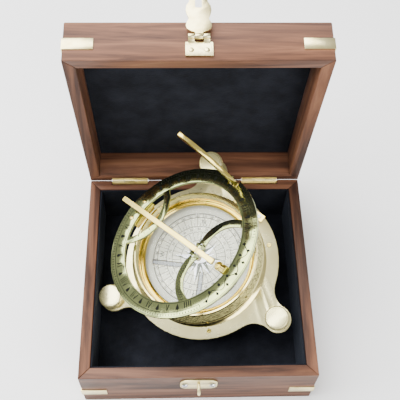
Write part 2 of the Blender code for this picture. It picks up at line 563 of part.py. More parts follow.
def build_ring(dial):
    """Hour ring with its brace and small scale, its hinge leaf, rivets and knob, and the gnomon."""
    at = (-HINGE_TO_CENTRE, 0, RING_HINGE_H)
    axis = empty("ring_axis", dial, at, Matrix.Rotation(-RING_OPEN, 4, "Y"))
    low, high, c = RING_LOW, RING_LOW + RING_T, HINGE_TO_CENTRE
    ring = lathe("hour_ring", [(RING_IN, low), (RING_OUT, low), (RING_OUT, high), (RING_IN, high)], axis,
                 DARK_BRASS, 64, at=(c, 0, 0))
    thin_low, thin_high = low + 0.2, high - 0.2
    reach = radians(64)
    scale = band((c - SCALE_AT, 0), SCALE_R, 4.3, -reach, reach, 14)
    join(ring, prism("ring_scale", scale, thin_low, thin_high))
    pivot_x = c + GNOMON_OFF
    mid = (RING_IN + 1.5)
    for side, sign in (("left", -1), ("right", 1)):
        end = (c - mid * cos(BRACE_TURN), sign * mid * sin(BRACE_TURN))
        arm = bowed_arm((pivot_x, sign * 2.0), end, BRACE_RISE, 5.0)
        lug = box("ring_lug_" + side, (pivot_x - 2.2, min(sign * 2.1, sign * 4.3), thin_low),
                  (pivot_x + 2.2, max(sign * 2.1, sign * 4.3), high + GNOMON_T + 1.4))
        join(ring, prism("ring_brace_" + side, arm, thin_low, thin_high), lug)
    bridge = box("ring_bridge", (pivot_x - 4.6, -3.6, thin_low), (pivot_x - 1.6, 3.6, thin_high))
    join(ring, bridge)
    notch_x = c + ARC_BEYOND
    pivot_h = high + 0.5 + GNOMON_T / 2
    cut(ring, box("arc_notch", (notch_x - ARC_W / 2 - 1.3, ARC_SIDE - ARC_T / 2 - 0.5, low - 2),
                  (notch_x + ARC_W / 2 + 1.0, 60, high + 2)),
        box("gnomon_slot", (pivot_x - 2.1, -2.1, low - 2), (pivot_x + 9.0, 2.1, high + 9)),
        rod("lug_bore", PIN_R + 0.25, -8, 8, "Y", (pivot_x, pivot_h), steps=16))
    leaf_top = low - 0.2
    hinge_leaf = box("ring_hinge_leaf", (1.9, -BRACKET_HALF + 0.2, leaf_top - 0.9), (9.5, BRACKET_HALF - 0.2, leaf_top),
                     axis, BRASS)
    eye = rod("leaf_eye", 1.5, -KNUCKLE_HALF, KNUCKLE_HALF, "Y", steps=24)
    web = box("leaf_web", (0.0, -KNUCKLE_HALF, -1.4), (2.4, KNUCKLE_HALF, leaf_top - 0.02))
    join(hinge_leaf, web, eye)
    cut(hinge_leaf, rod("leaf_bore", PIN_R + 0.3, -20, 20, "Y", steps=16))
    for side, y in (("left", -6.9), ("right", 6.9)):
        lathe("ring_rivet_" + side, [(0, 0), (1.5, 0), (1.3, 0.5), (0.7, 0.8), (0, 0.9)], axis, BRASS, 16,
              at=(3.2, y, high + 0.1))
    build_knob(axis, c, high)
    rod("gnomon_pin", PIN_R, -4.6, 4.6, "Y", (pivot_x, pivot_h), axis, STEEL, 14)
    build_gnomon(axis, (pivot_x, 0, pivot_h))


def build_knob(axis, centre_x, high):
    """Turned knob on the ring's inner edge, opposite the hinge, for lifting the ring."""
    start = RING_IN - 0.3
    end = start - 7.5
    profile = [(0, end), (2.4, end), (2.8, end + 0.5), (2.8, end + 2.6), (2.0, end + 3.1), (2.0, end + 4.1),
               (2.8, end + 4.6), (2.8, start - 0.3), (2.5, start), (0, start)]
    lathe("ring_lift_knob", profile, axis, BRASS, 24, at=(centre_x, 0, high - 0.6),
          turn=Matrix.Rotation(pi / 2, 4, "Y"))


def build_gnomon(ring_axis, at):
    """Flat bar on a cross pin, its long end over the ring's hinge."""
    axis = empty("gnomon_axis", ring_axis, at, Matrix.Rotation(GNOMON_OPEN, 4, "Y"))
    w, t = GNOMON_W / 2, GNOMON_T / 2
    bar = box("gnomon", (-GNOMON_LONG, -w, -t), (GNOMON_SHORT, w, t), axis, BRASS)
    edge = bar.modifiers.new("edges", "BEVEL")
    edge.width = 0.3 * MM
    edge.segments = 1
    boss = rod("gnomon_boss", 1.35, -w + 0.1, w - 0.1, "Y", steps=24)
    join(bar, boss)
    cut(bar, rod("gnomon_bore", PIN_R + 0.2, -5, 5, "Y", steps=16))


def build_arc(dial):
    """Latitude arc, curved about the ring's hinge line, on its own pivot and bracket."""
    x, y = ARC_BEYOND, ARC_SIDE
    axis = empty("arc_axis", dial, (x, y, ARC_PIVOT_H))
    centre = (-HINGE_TO_CENTRE - x, RING_HINGE_H - ARC_PIVOT_H)
    radius = HINGE_TO_CENTRE + ARC_BEYOND
    outer = arc(centre, radius + ARC_W / 2, 0, ARC_TOP, 22)
    inner = arc(centre, radius - ARC_W / 2, ARC_TOP, 0, 22)
    outline = [(-ARC_W / 2, -2.0), (ARC_W / 2, -2.0)] + outer + inner
    strip = prism("latitude_arc", [(v, u) for u, v in outline], -ARC_T / 2, ARC_T / 2, axis, BRASS, "Y")
    cut(strip, rod("arc_bore", PIN_R + 0.3, -5, 5, "X", steps=16))
    half = ARC_W / 2
    bracket = box("arc_bracket", (x - half - 9.0, y - 1.9, 0.3), (x + half + 9.0, y + 2.8, 1.8), dial, BRASS)
    for side, x0, x1 in (("near", x - half - 2.2, x - half - 0.4), ("far", x + half + 0.4, x + half + 2.2)):
        join(bracket, box("arc_cheek_" + side, (x0, y - 1.8, 1.0), (x1, y + 1.8, ARC_PIVOT_H + 2.0)))
    cut(bracket, rod("cheek_bore", PIN_R + 0.3, x - 9, x + 9, "X", (y, ARC_PIVOT_H), steps=16))
    rod("arc_pin", PIN_R, x - half - 2.5, x + half + 2.5, "X", (y, ARC_PIVOT_H), dial, STEEL, 14)


build_base()
hinge_line = build_lid()
build_hinges(hinge_line)
build_instrument()
bpy.context.view_layer.update()
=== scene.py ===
"""Looks for the cased pocket sundial: materials, engraving, small trim, light and camera.

Lengths are in mm and are turned into metres as pieces are made; lights and the floor are in metres.
Engraving is laid in frames that repeat the CAD's own: the plate, the dial, the ring and the arc.
"""

from math import atan2, cos, pi, radians, sin

import bmesh
import bpy
from mathutils import Matrix, Vector


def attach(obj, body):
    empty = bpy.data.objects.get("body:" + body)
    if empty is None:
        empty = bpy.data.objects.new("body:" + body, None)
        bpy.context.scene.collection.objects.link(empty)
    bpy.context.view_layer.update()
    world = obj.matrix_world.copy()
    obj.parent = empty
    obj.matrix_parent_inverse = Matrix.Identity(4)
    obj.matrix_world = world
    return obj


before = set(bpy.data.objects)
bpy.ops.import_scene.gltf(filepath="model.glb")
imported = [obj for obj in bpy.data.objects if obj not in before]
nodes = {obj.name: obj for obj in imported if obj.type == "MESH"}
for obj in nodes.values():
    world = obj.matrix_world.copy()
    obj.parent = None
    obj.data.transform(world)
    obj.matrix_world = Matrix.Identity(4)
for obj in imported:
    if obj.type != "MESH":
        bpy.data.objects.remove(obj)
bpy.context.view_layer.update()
MM = 0.001
PER_MM = (1000.0, 1000.0, 1000.0)
CREASE = radians(35.0)

# ---- the CAD's own sizes, mm ----
INSTRUMENT_AT = Vector((3.3, 10.2, 37.5))
LEAN, LEAN_TOWARDS, SPIN = radians(18.5), radians(-128.0), radians(-11.0)
DIAL_TURN = radians(-30.0)
RING_OPEN = radians(22.5)
RING_HINGE = Vector((-48.0, 0.0, 29.5))
RING_TOP, RING_CENTRE = 3.6, 48.0
BRACE_PIVOT, BRACE_END_R, BRACE_TURN, BRACE_RISE = 64.5, 43.0, radians(137.0), 7.5
CARD_H = 10.3
DRUM_R = 42.0
ARC_AT = Vector((5.0, 48.0, 6.0))
ARC_CENTRE, ARC_HALF = (-53.0, 23.5), 1.25
LID_AT, LID_ANGLE = Vector((0.0, 73.15, 43.0)), radians(83.0)
# levelling screws: name, bearing on the plate in degrees, height of the head's top
FOOT_R, FOOT_HEAD_R = 65.5, 7.80
FEET = (("right", -30.0, 8.5), ("rear", 90.0, 20.0), ("left", 210.0, 11.0))

# ---- engraving, mm ----
HOUR_STEP = radians(17.5)
NUMERAL_R, NUMERAL_HEIGHT, NUMERAL_WIDTH = 45.0, 4.0, 1.3
STEM, BOLD, HAIR = 0.56, 0.60, 0.34
MINUTES = 136
WAVE_R, WAVE_RISE, WAVE_STEPS, BUDS = 46.6, 1.9, 48, 12
LACE_CENTRE, LACE_REACH, LACE_CROSSES = (-2.0, 0.0), 1.08, 20
CARD_RINGS = ((31.0, 0.55), (28.2, 0.45), (22.0, 0.42), (18.2, 0.40), (12.2, 0.36))
ROSE_WAIST = 6.0
FRIEZE_IN, FRIEZE_LOW, FRIEZE_HIGH = 40.2, 16.4, 24.8
KNURLS, KNURL_LOW, KNURL_HIGH, KNURL_HALF_ANGLE = 60, -5.8, -1.3, 0.028


def frame_at(place, turn):
    return Matrix.Translation(place) @ turn


lean_axis = Vector((-sin(LEAN_TOWARDS), cos(LEAN_TOWARDS), 0))
PLATE = frame_at(INSTRUMENT_AT, Matrix.Rotation(LEAN, 4, lean_axis) @ Matrix.Rotation(SPIN, 4, "Z"))
DIAL = PLATE @ Matrix.Rotation(DIAL_TURN, 4, "Z")
RING = DIAL @ frame_at(RING_HINGE, Matrix.Rotation(-RING_OPEN, 4, "Y"))
ARC = DIAL @ Matrix.Translation(ARC_AT)
LID = frame_at(LID_AT, Matrix.Rotation(-LID_ANGLE, 4, "X"))


# ---------------------------------------------------------------- shader helpers

class Shade:
    """A small builder for node materials."""

    def __init__(self, name):
        self.mat = bpy.data.materials.new(name)
        self.mat.use_nodes = True
        self.tree = self.mat.node_tree
        self.out = self.tree.nodes["Principled BSDF"]

    def node(self, kind, **props):
        made = self.tree.nodes.new(kind)
        for key, value in props.items():
            setattr(made, key, value)
        return made

    def link(self, a, b):
        self.tree.links.new(a, b)

    def set(self, **values):
        for key, value in values.items():
            self.out.inputs[key.replace("_", " ")].default_value = value
        return self

    def coords(self, matrix=None, scale=(1, 1, 1)):
        """Object coordinates, in the given frame (mm) if one is named."""
        tex = self.node("ShaderNodeTexCoord")
        socket = tex.outputs["Object"]
        if matrix is not None:
            into = self.node("ShaderNodeMapping", vector_type="TEXTURE")
            into.inputs["Location"].default_value = matrix.translation * MM
            into.inputs["Rotation"].default_value = matrix.to_euler("XYZ")
            self.link(socket, into.inputs["Vector"])
            socket = into.outputs["Vector"]
        size = self.node("ShaderNodeMapping")
        size.inputs["Scale"].default_value = scale
        self.link(socket, size.inputs["Vector"])
        return size.outputs["Vector"]

    def split(self, vector):
        parts = self.node("ShaderNodeSeparateXYZ")
        self.link(vector, parts.inputs["Vector"])
        return [parts.outputs[k] for k in "XYZ"]

    def radius(self, x, y):
        return self.math("SQRT", self.math("ADD", self.math("MULTIPLY", x, x), self.math("MULTIPLY", y, y)))

    def noise(self, vector, scale, detail=4.0, rough=0.55, distort=0.0):
        made = self.node("ShaderNodeTexNoise")
        made.inputs["Scale"].default_value = scale
        made.inputs["Detail"].default_value = detail
        made.inputs["Roughness"].default_value = rough
        made.inputs["Distortion"].default_value = distort
        self.link(vector, made.inputs["Vector"])
        return made.outputs["Fac"]

    def ramp(self, fac, stops):
        made = self.node("ShaderNodeValToRGB")
        line = made.color_ramp
        while len(line.elements) < len(stops):
            line.elements.new(0.5)
        for element, (at, colour) in zip(line.elements, stops):
            element.position = at
            element.color = tuple(colour) + (1.0,) if len(colour) == 3 else colour
        self.link(fac, made.inputs["Fac"])
        return made.outputs["Color"]

    def math(self, operation, a, b=None, clamp=False):
        made = self.node("ShaderNodeMath", operation=operation, use_clamp=clamp)
        for i, value in enumerate((a, b)):
            if value is None:
                continue
            if isinstance(value, (int, float)):
                made.inputs[i].default_value = value
            else:
                self.link(value, made.inputs[i])
        return made.outputs["Value"]

    def mix(self, fac, a, b):
        made = self.node("ShaderNodeMix", data_type="RGBA")
        self.link(fac, made.inputs["Factor"])
        for i, value in ((6, a), (7, b)):
            if isinstance(value, (tuple, list)):
                made.inputs[i].default_value = tuple(value) + (1.0,)
            else:
                self.link(value, made.inputs[i])
        return made.outputs[2]

    def range(self, fac, low, high):
        made = self.node("ShaderNodeMapRange")
        made.inputs["To Min"].default_value = low
        made.inputs["To Max"].default_value = high
        self.link(fac, made.inputs["Value"])
        return made.outputs["Result"]

    def bump(self, height, strength, distance):
        made = self.node("ShaderNodeBump")
        made.inputs["Strength"].default_value = strength
        made.inputs["Distance"].default_value = distance
        self.link(height, made.inputs["Height"])
        self.link(made.outputs["Normal"], self.out.inputs["Normal"])

    def colour(self, socket):
        self.link(socket, self.out.inputs["Base Color"])

    def rough(self, socket):
        self.link(socket, self.out.inputs["Roughness"])


def wood(name, grain, seed, matrix=None):
    """Oiled rosewood with long dark streaks and open pores; grain is the axis it runs along."""
    s = Shade(name)
    along = [46.0, 46.0, 46.0]
    along["XYZ".index(grain)] = 3.2
    vector = s.coords(matrix, along)
    shift = s.node("ShaderNodeMapping")
    shift.inputs["Location"].default_value = (seed * 1.7, seed * 0.9, seed * 2.3)
    s.link(vector, shift.inputs["Vector"])
    vector = shift.outputs["Vector"]
    streak = s.noise(vector, 2.4, 5.0, 0.62, 0.9)
    figure = s.noise(vector, 0.8, 3.0, 0.5, 1.6)
    body = s.ramp(streak, [(0.28, (0.020, 0.009, 0.007)), (0.42, (0.070, 0.032, 0.019)),
                           (0.56, (0.155, 0.070, 0.038)), (0.72, (0.255, 0.125, 0.066))])
    tone = s.ramp(figure, [(0.35, (0.62, 0.56, 0.55)), (0.65, (1.05, 0.98, 0.95))])
    blend = s.node("ShaderNodeMix", data_type="RGBA", blend_type="MULTIPLY")
    blend.inputs["Factor"].default_value = 1.0
    s.link(body, blend.inputs[6])
    s.link(tone, blend.inputs[7])
    s.colour(blend.outputs[2])
    pores = s.noise(vector, 14.0, 2.0, 0.5)
    s.rough(s.range(streak, 0.60, 0.44))
    s.bump(s.math("ADD", streak, s.math("MULTIPLY", pores, 0.6)), 0.22, 0.0004)
    s.set(Coat_Weight=0.04, Coat_Roughness=0.35, Specular_IOR_Level=0.22)
    return s.mat


def velvet(name):
    """Black velvet with a faint blue sheen."""
    s = Shade(name)
    vector = s.coords()
    nap = s.noise(vector, 60.0, 4.0, 0.6)
    fine = s.noise(vector, 900.0, 2.0, 0.6)
    s.colour(s.ramp(nap, [(0.35, (0.0035, 0.0042, 0.0065)), (0.70, (0.0105, 0.0120, 0.0175))]))
    s.bump(fine, 0.5, 0.0004)
    s.set(Roughness=0.95, Specular_IOR_Level=0.15)
    s.set(Sheen_Weight=0.07, Sheen_Roughness=0.45, Sheen_Tint=(0.30, 0.36, 0.50, 1.0))
    return s.mat


def brass(name, colour, rough, scale=70.0, bump=0.05, metal=1.0):
    """Polished brass with faint darker clouds and hand-polishing haze; rough is (bright, dull)."""
    s = Shade(name)
    vector = s.coords()
    cloud = s.noise(vector, scale, 4.0, 0.55)
    dark = tuple(c * d for c, d in zip(colour, (0.80, 0.76, 0.62)))
    s.colour(s.ramp(cloud, [(0.30, dark), (0.58, colour)]))
    s.rough(s.range(cloud, rough[1], rough[0]))
    s.bump(s.noise(vector, scale * 6, 3.0, 0.6), bump, 0.0003)
    s.set(Metallic=metal)
    return s.mat


def steel(name):
    """Bright steel with cloudy polish."""
    s = Shade(name)
    vector = s.coords()
    cloud = s.noise(vector, 160.0, 3.0, 0.5)
    s.colour(s.ramp(cloud, [(0.3, (0.52, 0.53, 0.56)), (0.7, (0.78, 0.79, 0.82))]))
    s.rough(s.range(cloud, 0.30, 0.16))
    s.set(Metallic=1.0)
    return s.mat


def ink(name, colour, rough=0.55, metallic=0.0):
    """Filling of an engraved line."""
    s = Shade(name)
    cloud = s.noise(s.coords(), 400.0, 3.0, 0.6)
    s.colour(s.ramp(cloud, [(0.3, tuple(c * 0.6 for c in colour)), (0.7, colour)]))
    s.rough(s.range(cloud, min(rough + 0.15, 1.0), rough))
    s.set(Metallic=metallic, Specular_IOR_Level=0.04)
    return s.mat


def drum_brass():
    """The drum: polished, with an engraved scroll frieze on its sloping upper band."""
    s = Shade("drum_brass")
    vector = s.coords(PLATE, PER_MM)
    x, y, z = s.split(vector)
    radius = s.radius(x, y)
    angle = s.math("ARCTAN2", y, x)
    outside = s.math("GREATER_THAN", radius, FRIEZE_IN)
    above = s.math("GREATER_THAN", z, FRIEZE_LOW)
    below = s.math("LESS_THAN", z, FRIEZE_HIGH)
    band = s.math("MULTIPLY", outside, s.math("MULTIPLY", above, below))
    lay = s.node("ShaderNodeCombineXYZ")
    s.link(s.math("MULTIPLY", angle, 41.0), lay.inputs["X"])
    s.link(z, lay.inputs["Y"])
    leaf = s.node("ShaderNodeTexVoronoi", feature="DISTANCE_TO_EDGE")
    leaf.inputs["Scale"].default_value = 0.62
    s.link(lay.outputs["Vector"], leaf.inputs["Vector"])
    stem = s.math("SINE", s.math("MULTIPLY", angle, 36.0))
    middle = s.math("ADD", s.math("MULTIPLY", stem, 2.6), 20.6)
    near_stem = s.math("LESS_THAN", s.math("ABSOLUTE", s.math("SUBTRACT", z, middle)), 0.34)
    veins = s.math("LESS_THAN", leaf.outputs["Distance"], 0.055)
    cut = s.math("MULTIPLY", band, s.math("MAXIMUM", near_stem, veins))
    cloud = s.noise(vector, 0.09, 4.0, 0.55)
    shine = s.ramp(cloud, [(0.30, (0.70, 0.58, 0.22)), (0.58, (0.92, 0.80, 0.36))])
    base = s.mix(band, shine, (0.88, 0.82, 0.38))
    s.colour(s.mix(cut, base, (0.10, 0.075, 0.02)))
    s.rough(s.math("ADD", s.range(cloud, 0.20, 0.10), s.math("MULTIPLY", band, 0.42), True))
    s.bump(s.math("SUBTRACT", 1.0, cut), 0.35, 0.0002)
    s.set(Metallic=1.0)
    return s.mat


def ring_brass():
    """The hour ring: polished, with a greenish tint left by age."""
    s = Shade("ring_brass")
    vector = s.coords(RING, PER_MM)
    cloud = s.noise(vector, 0.07, 4.0, 0.6)
    s.colour(s.ramp(cloud, [(0.32, (0.27, 0.30, 0.13)), (0.60, (0.41, 0.45, 0.19))]))
    s.rough(s.range(cloud, 0.20, 0.11))
    s.bump(s.noise(vector, 1.1, 3.0, 0.6), 0.05, 0.0002)
    s.set(Metallic=1.0)
    return s.mat


def card_face():
    """Silvered compass card: cream in the middle, darker outside its scale."""
    s = Shade("card_silvered")
    vector = s.coords(PLATE, PER_MM)
    x, y, _ = s.split(vector)
    radius = s.radius(x, y)
    cloud = s.noise(vector, 0.16, 4.0, 0.6)
    cream = s.ramp(cloud, [(0.3, (0.56, 0.57, 0.44)), (0.7, (0.74, 0.75, 0.58))])
    rim = s.math("GREATER_THAN", radius, CARD_RINGS[0][0])
    s.colour(s.mix(rim, cream, (0.47, 0.48, 0.38)))
    s.rough(s.range(cloud, 0.42, 0.28))
    s.set(Metallic=0.35)
    return s.mat


def clear_glass(name, colour=(0.95, 0.97, 0.98), alpha=0.10):
    """Thin clear glass with faint smears."""
    s = Shade(name)
    smear = s.noise(s.coords(), 45.0, 3.0, 0.5)
    s.colour(s.ramp(smear, [(0.3, tuple(c * 0.96 for c in colour)), (0.7, colour)]))
    s.rough(s.range(smear, 0.05, 0.01))
    s.set(Alpha=alpha, IOR=1.5, Specular_IOR_Level=0.12)
    return s.mat


# ---------------------------------------------------------------- finish of the CAD nodes

BRASS = brass("polished_brass", (0.76, 0.61, 0.17), (0.14, 0.24))
PALE = brass("plate_brass", (0.99, 0.91, 0.47), (0.22, 0.34), 40.0, 0.03, 0.72)
FITTING = brass("fitting_brass", (0.90, 0.79, 0.42), (0.24, 0.36), 120.0, 0.12)
GREEN = ring_brass()
DRUM = drum_brass()
STEEL = steel("bright_steel")
VELVET = velvet("black_velvet")
CARD = card_face()
GLASS = clear_glass("crystal")
BUBBLE = clear_glass("bubble", (0.97, 0.99, 1.0), 0.7)
SPIRIT = clear_glass("spirit_glass", (0.62, 0.70, 0.78), 0.55)
INK = ink("engraving_black", (0.008, 0.009, 0.007), 0.8)
PATINA = ink("engraving_patina", (0.012, 0.013, 0.009), 0.8)
FAINT = ink("engraving_grey", (0.05, 0.055, 0.045), 0.8)
ROSE_DARK = ink("rose_green", (0.07, 0.10, 0.05), 0.5, 0.1)
BEAD = wood("rosewood_bead", "X", 31)
# painted shade: a near-black fill laid flat on screw heads in place of the shade inside their slots
SHADOW = ink("painted_slot_shade", (0.012, 0.010, 0.008), 0.8)


def paint(name, mat):
    mesh = nodes[name].data
    mesh.materials.clear()
    mesh.materials.append(mat)


def dress(name, edge=0.0):
    """Shades a node smooth across its curves, with a small bright edge where one is asked for."""
    item = nodes[name]
    item.data.shade_smooth()
    weld = item.modifiers.new("weld", "WELD")
    weld.merge_threshold = 2e-6
    if edge:
        soft = item.modifiers.new("edge", "BEVEL")
        soft.width = edge * MM
        soft.segments = 2
        soft.limit_method = "ANGLE"
        soft.angle_limit = CREASE
        soft.harden_normals = True
    split = item.modifiers.new("split", "EDGE_SPLIT")
    split.split_angle = CREASE


def finish(mat, edge, *names):
    for name in names:
        paint(name, mat)
        dress(name, edge)


seed = 1
for prefix, matrix in (("base", Matrix.Identity(4)), ("lid", LID)):
    for side, grain in (("front", "X"), ("back", "X"), ("left", "Y"), ("right", "Y")):
        name = prefix + "_wall_" + side
        paint(name, wood("rosewood_" + name, grain, seed, matrix))
        dress(name, 0.08 if side == "back" else 0.45)
        seed += 1
for name, matrix in (("base_floor", Matrix.Identity(4)), ("lid_panel", LID)):
    paint(name, wood("rosewood_" + name, "X", seed, matrix))
    dress(name, 0.2)
    seed += 1

finish(VELVET, 0.0, "floor_lining", "lining_front", "lining_back", "lining_left", "lining_right", "lid_lining")
finish(FITTING, 0.12, "catch_plate", "base_corner_left", "base_corner_right", "lid_corner_left",
       "lid_corner_right", "hasp_plate", "hasp_strap")
finish(FITTING, 0.0, "catch_staple", "hasp_rivet_left", "hasp_rivet_right", "hinge_base_leaf_left",
       "hinge_base_leaf_right", "hinge_lid_leaf_left", "hinge_lid_leaf_right")
finish(STEEL, 0.0, "catch_screw_left", "catch_screw_right", "hinge_pin_left", "hinge_pin_right", "hasp_pin",
       "ring_hinge_pin", "arc_pin", "needle_post", "gnomon_pin", "compass_needle")
finish(PALE, 0.35, "base_plate")
finish(PALE, 0.2, "levelling_screw_right", "levelling_screw_rear", "levelling_screw_left")
finish(BRASS, 0.12, "ring_hinge_bracket", "latitude_arc")
finish(BRASS, 0.0, "bezel_ring", "arc_bracket", "ring_hinge_leaf", "ring_rivet_left", "ring_rivet_right",
       "ring_lift_knob", "needle_cap", "gnomon")
finish(DRUM, 0.0, "compass_drum")
finish(GREEN, 0.18, "hour_ring")
finish(CARD, 0.0, "compass_card")
finish(GLASS, 0.0, "compass_glass")
finish(SPIRIT, 0.0, "level_vial_cross", "level_vial_long")


# ---------------------------------------------------------------- engraving and trim

class Cut:
    """Flat marks laid just above a face, in a frame whose Z stands off the face (mm)."""

    def __init__(self, matrix, height, lift=0.035):
        self.matrix, self.z, self.bm = matrix, height + lift, bmesh.new()

    def shape(self, points):
        verts = [self.bm.verts.new(self.matrix @ Vector((x, y, self.z)) * MM) for x, y in points]
        self.bm.faces.new(verts)

    def stroke(self, a, b, width):
        a, b = Vector(a), Vector(b)
        along = (b - a).normalized()
        side = Vector((-along.y, along.x)) * width / 2
        self.shape([a + side, a - side, b - side, b + side])

    def circle(self, centre, radius, width, start=0.0, end=2 * pi, steps=96):
        for i in range(steps):
            a, b = (start + (end - start) * k / steps for k in (i, i + 1))
            self.shape([(centre[0] + r * cos(t), centre[1] + r * sin(t)) for r, t in
                        ((radius - width / 2, a), (radius + width / 2, a), (radius + width / 2, b),
                         (radius - width / 2, b))])

    def done(self, name, mat, body, slot):
        bmesh.ops.recalc_face_normals(self.bm, faces=self.bm.faces)
        out = self.matrix.to_3x3() @ Vector((0, 0, 1))
        wrong = [f for f in self.bm.faces if f.normal.dot(out) < 0]
        bmesh.ops.reverse_faces(self.bm, faces=wrong)
        return add(name, self.bm, mat, body)


def add(name, bm, mat, body):
    mesh = bpy.data.meshes.new(name)
    bm.to_mesh(mesh)
    bm.free()
    made = bpy.data.objects.new(name, mesh)
    bpy.context.scene.collection.objects.link(made)
    mesh.materials.append(mat)
    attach(made, body)
    return made


def local(centre, angle, x, y):
    """A point beside a spot on a circle: x along the circle, y outwards."""
    out = Vector((cos(angle), sin(angle)))
    along = Vector((-out.y, out.x))
    return Vector(centre) + out * y + along * x


def numeral(cut, text, centre, radius, angle, height, width):
    """Roman numeral with its head towards the centre."""
    advance = {"I": 1.05, "V": 1.9, "X": 1.9}
    top, foot = radius - height / 2, radius + height / 2
    at = sum(advance[c] for c in text) * width / 2
    for letter in text:
        w = advance[letter] * width
        mid, spread = at - w / 2, w * 0.36
        strokes = {"I": ((0, 0, STEM),), "V": ((spread, 0, BOLD), (-spread, 0, HAIR)),
                   "X": ((spread, -spread, BOLD), (-spread, spread, HAIR))}[letter]
        for head, end, thick in strokes:
            cut.stroke(local(centre, angle, mid + head, top), local(centre, angle, mid + end, foot), thick)
        at -= w


def engrave_ring():
    centre = (RING_CENTRE, 0.0)
    cut = Cut(RING, RING_TOP)
    hinge, numeral_size = pi, (NUMERAL_HEIGHT, NUMERAL_WIDTH)
    morning = ["XI", "X", "IX", "VIII", "VII", "VI", "V", "IIII"]
    evening = ["I", "II", "III", "IIII", "V", "VI", "VII", "VIII"]
    numeral(cut, "XII", centre, NUMERAL_R, hinge, *numeral_size)
    spade = ((0, 43.0), (0.9, 45.4), (1.2, 46.4), (0, 47.1), (-1.2, 46.4), (-0.9, 45.4))
    for names, sign in ((morning, 1), (evening, -1)):
        for i, text in enumerate(names):
            numeral(cut, text, centre, NUMERAL_R, hinge + sign * HOUR_STEP * (i + 1), *numeral_size)
            half_hour = hinge + sign * HOUR_STEP * (i + 0.5)
            cut.shape([local(centre, half_hour, x, r) for x, r in spade])
    reach = HOUR_STEP * 8.5
    cut.circle(centre, 48.0, 0.34, hinge - reach, hinge + reach, 120)
    cut.circle(centre, 42.4, 0.30)
    cut.circle(centre, 50.9, 0.30)
    for i in range(MINUTES + 1):
        at = hinge - reach + 2 * reach * i / MINUTES
        inner, thick = (48.3, 0.4) if i % 8 == 0 else (49.2, 0.55)
        cut.stroke(local(centre, at, 0, inner), local(centre, at, 0, 50.3), thick)
    # a plain wave with buds fills the rest of the face
    free = pi - reach
    for k in range(WAVE_STEPS):
        a, b = (-free + 0.06 + (2 * free - 0.12) * (k + d) / WAVE_STEPS for d in (0, 1))
        ra, rb = (WAVE_R + WAVE_RISE * sin(t * 24) for t in (a, b))
        cut.stroke(local(centre, a, 0, ra), local(centre, b, 0, rb), 0.5)
    bud = ((0, -3.4), (1.0, -2.0), (0, -0.6), (-1.0, -2.0))
    for k in range(BUDS):
        at = -free + 0.10 + (2 * free - 0.20) * k / (BUDS - 1)
        side = 1 if k % 2 else -1
        cut.shape([local(centre, at, x, WAVE_R + side * y) for x, y in bud])
    cut.done("ring_engraving", PATINA, "ring", "dark_brass")
    # the small scale; its face and the brace's lie 0.2 mm below the ring's
    lace = Cut(RING, RING_TOP - 0.2)
    for radius in (23.2, 26.8):
        lace.circle(LACE_CENTRE, radius, 0.18, -LACE_REACH, LACE_REACH, 60)
    for i in range(61):
        at = radians(-60 + 2 * i)
        inner = 24.2 if i % 5 == 0 else 25.4
        lace.stroke(local(LACE_CENTRE, at, 0, inner), local(LACE_CENTRE, at, 0, 26.6), 0.24)
    for i in range(-5, 6):
        at = radians(10 * i + 5)
        numeral(lace, "I" if i % 2 else "V", LACE_CENTRE, 24.3, at, 1.3, 0.5)
    # lattice along each half of the brace
    for sign in (-1, 1):
        start = Vector((BRACE_PIVOT, sign * 2.0))
        end = Vector((RING_CENTRE - BRACE_END_R * cos(BRACE_TURN), sign * BRACE_END_R * sin(BRACE_TURN)))
        chord = end - start
        half = chord.length / 2
        radius = (half * half + BRACE_RISE * BRACE_RISE) / (2 * BRACE_RISE)
        normal = Vector((-chord.y, chord.x)).normalized()
        normal = normal if normal.x > 0 else -normal
        middle = (start + end) / 2 + normal * (radius - BRACE_RISE)
        first = atan2(start.y - middle.y, start.x - middle.x)
        last = atan2(end.y - middle.y, end.x - middle.x)
        last = first + (last - first + pi) % (2 * pi) - pi
        for r in (-2.0, 2.0):
            lace.circle(middle, radius + r, 0.18, min(first, last), max(first, last), 40)
        for i in range(1, LACE_CROSSES - 1):
            a, b = (first + (last - first) * (i + d) / LACE_CROSSES for d in (0.0, 1.0))
            lace.stroke(local(middle, a, 0, radius - 1.5), local(middle, b, 0, radius + 1.5), 0.34)
            lace.stroke(local(middle, a, 0, radius + 1.5), local(middle, b, 0, radius - 1.5), 0.34)
    lace.done("brace_engraving", PATINA, "ring", "dark_brass")


def text_marks(entries, matrix, height, name, mat, body):
    """Small generic characters round a face's middle; entries are (text, radius, bearing, size)."""
    bm = bmesh.new()
    for text, radius, at, size in entries:
        curve = bpy.data.curves.new("mark", "FONT")
        curve.body = text
        curve.size = size
        curve.align_x = curve.align_y = "CENTER"
        curve.resolution_u = 2
        curve.offset = 0.05
        holder = bpy.data.objects.new("mark", curve)
        bpy.context.scene.collection.objects.link(holder)
        bpy.context.view_layer.update()
        depsgraph = bpy.context.evaluated_depsgraph_get()
        mesh = bpy.data.meshes.new_from_object(holder.evaluated_get(depsgraph))
        bpy.data.objects.remove(holder)
        place = Matrix.Translation((radius * cos(at), radius * sin(at), height + 0.04))
        mesh.transform(matrix @ place @ Matrix.Rotation(at - pi / 2, 4, "Z"))
        mesh.transform(Matrix.Scale(MM, 4))
        bm.from_mesh(mesh)
        bpy.data.meshes.remove(mesh)
    return add(name, bm, mat, body)


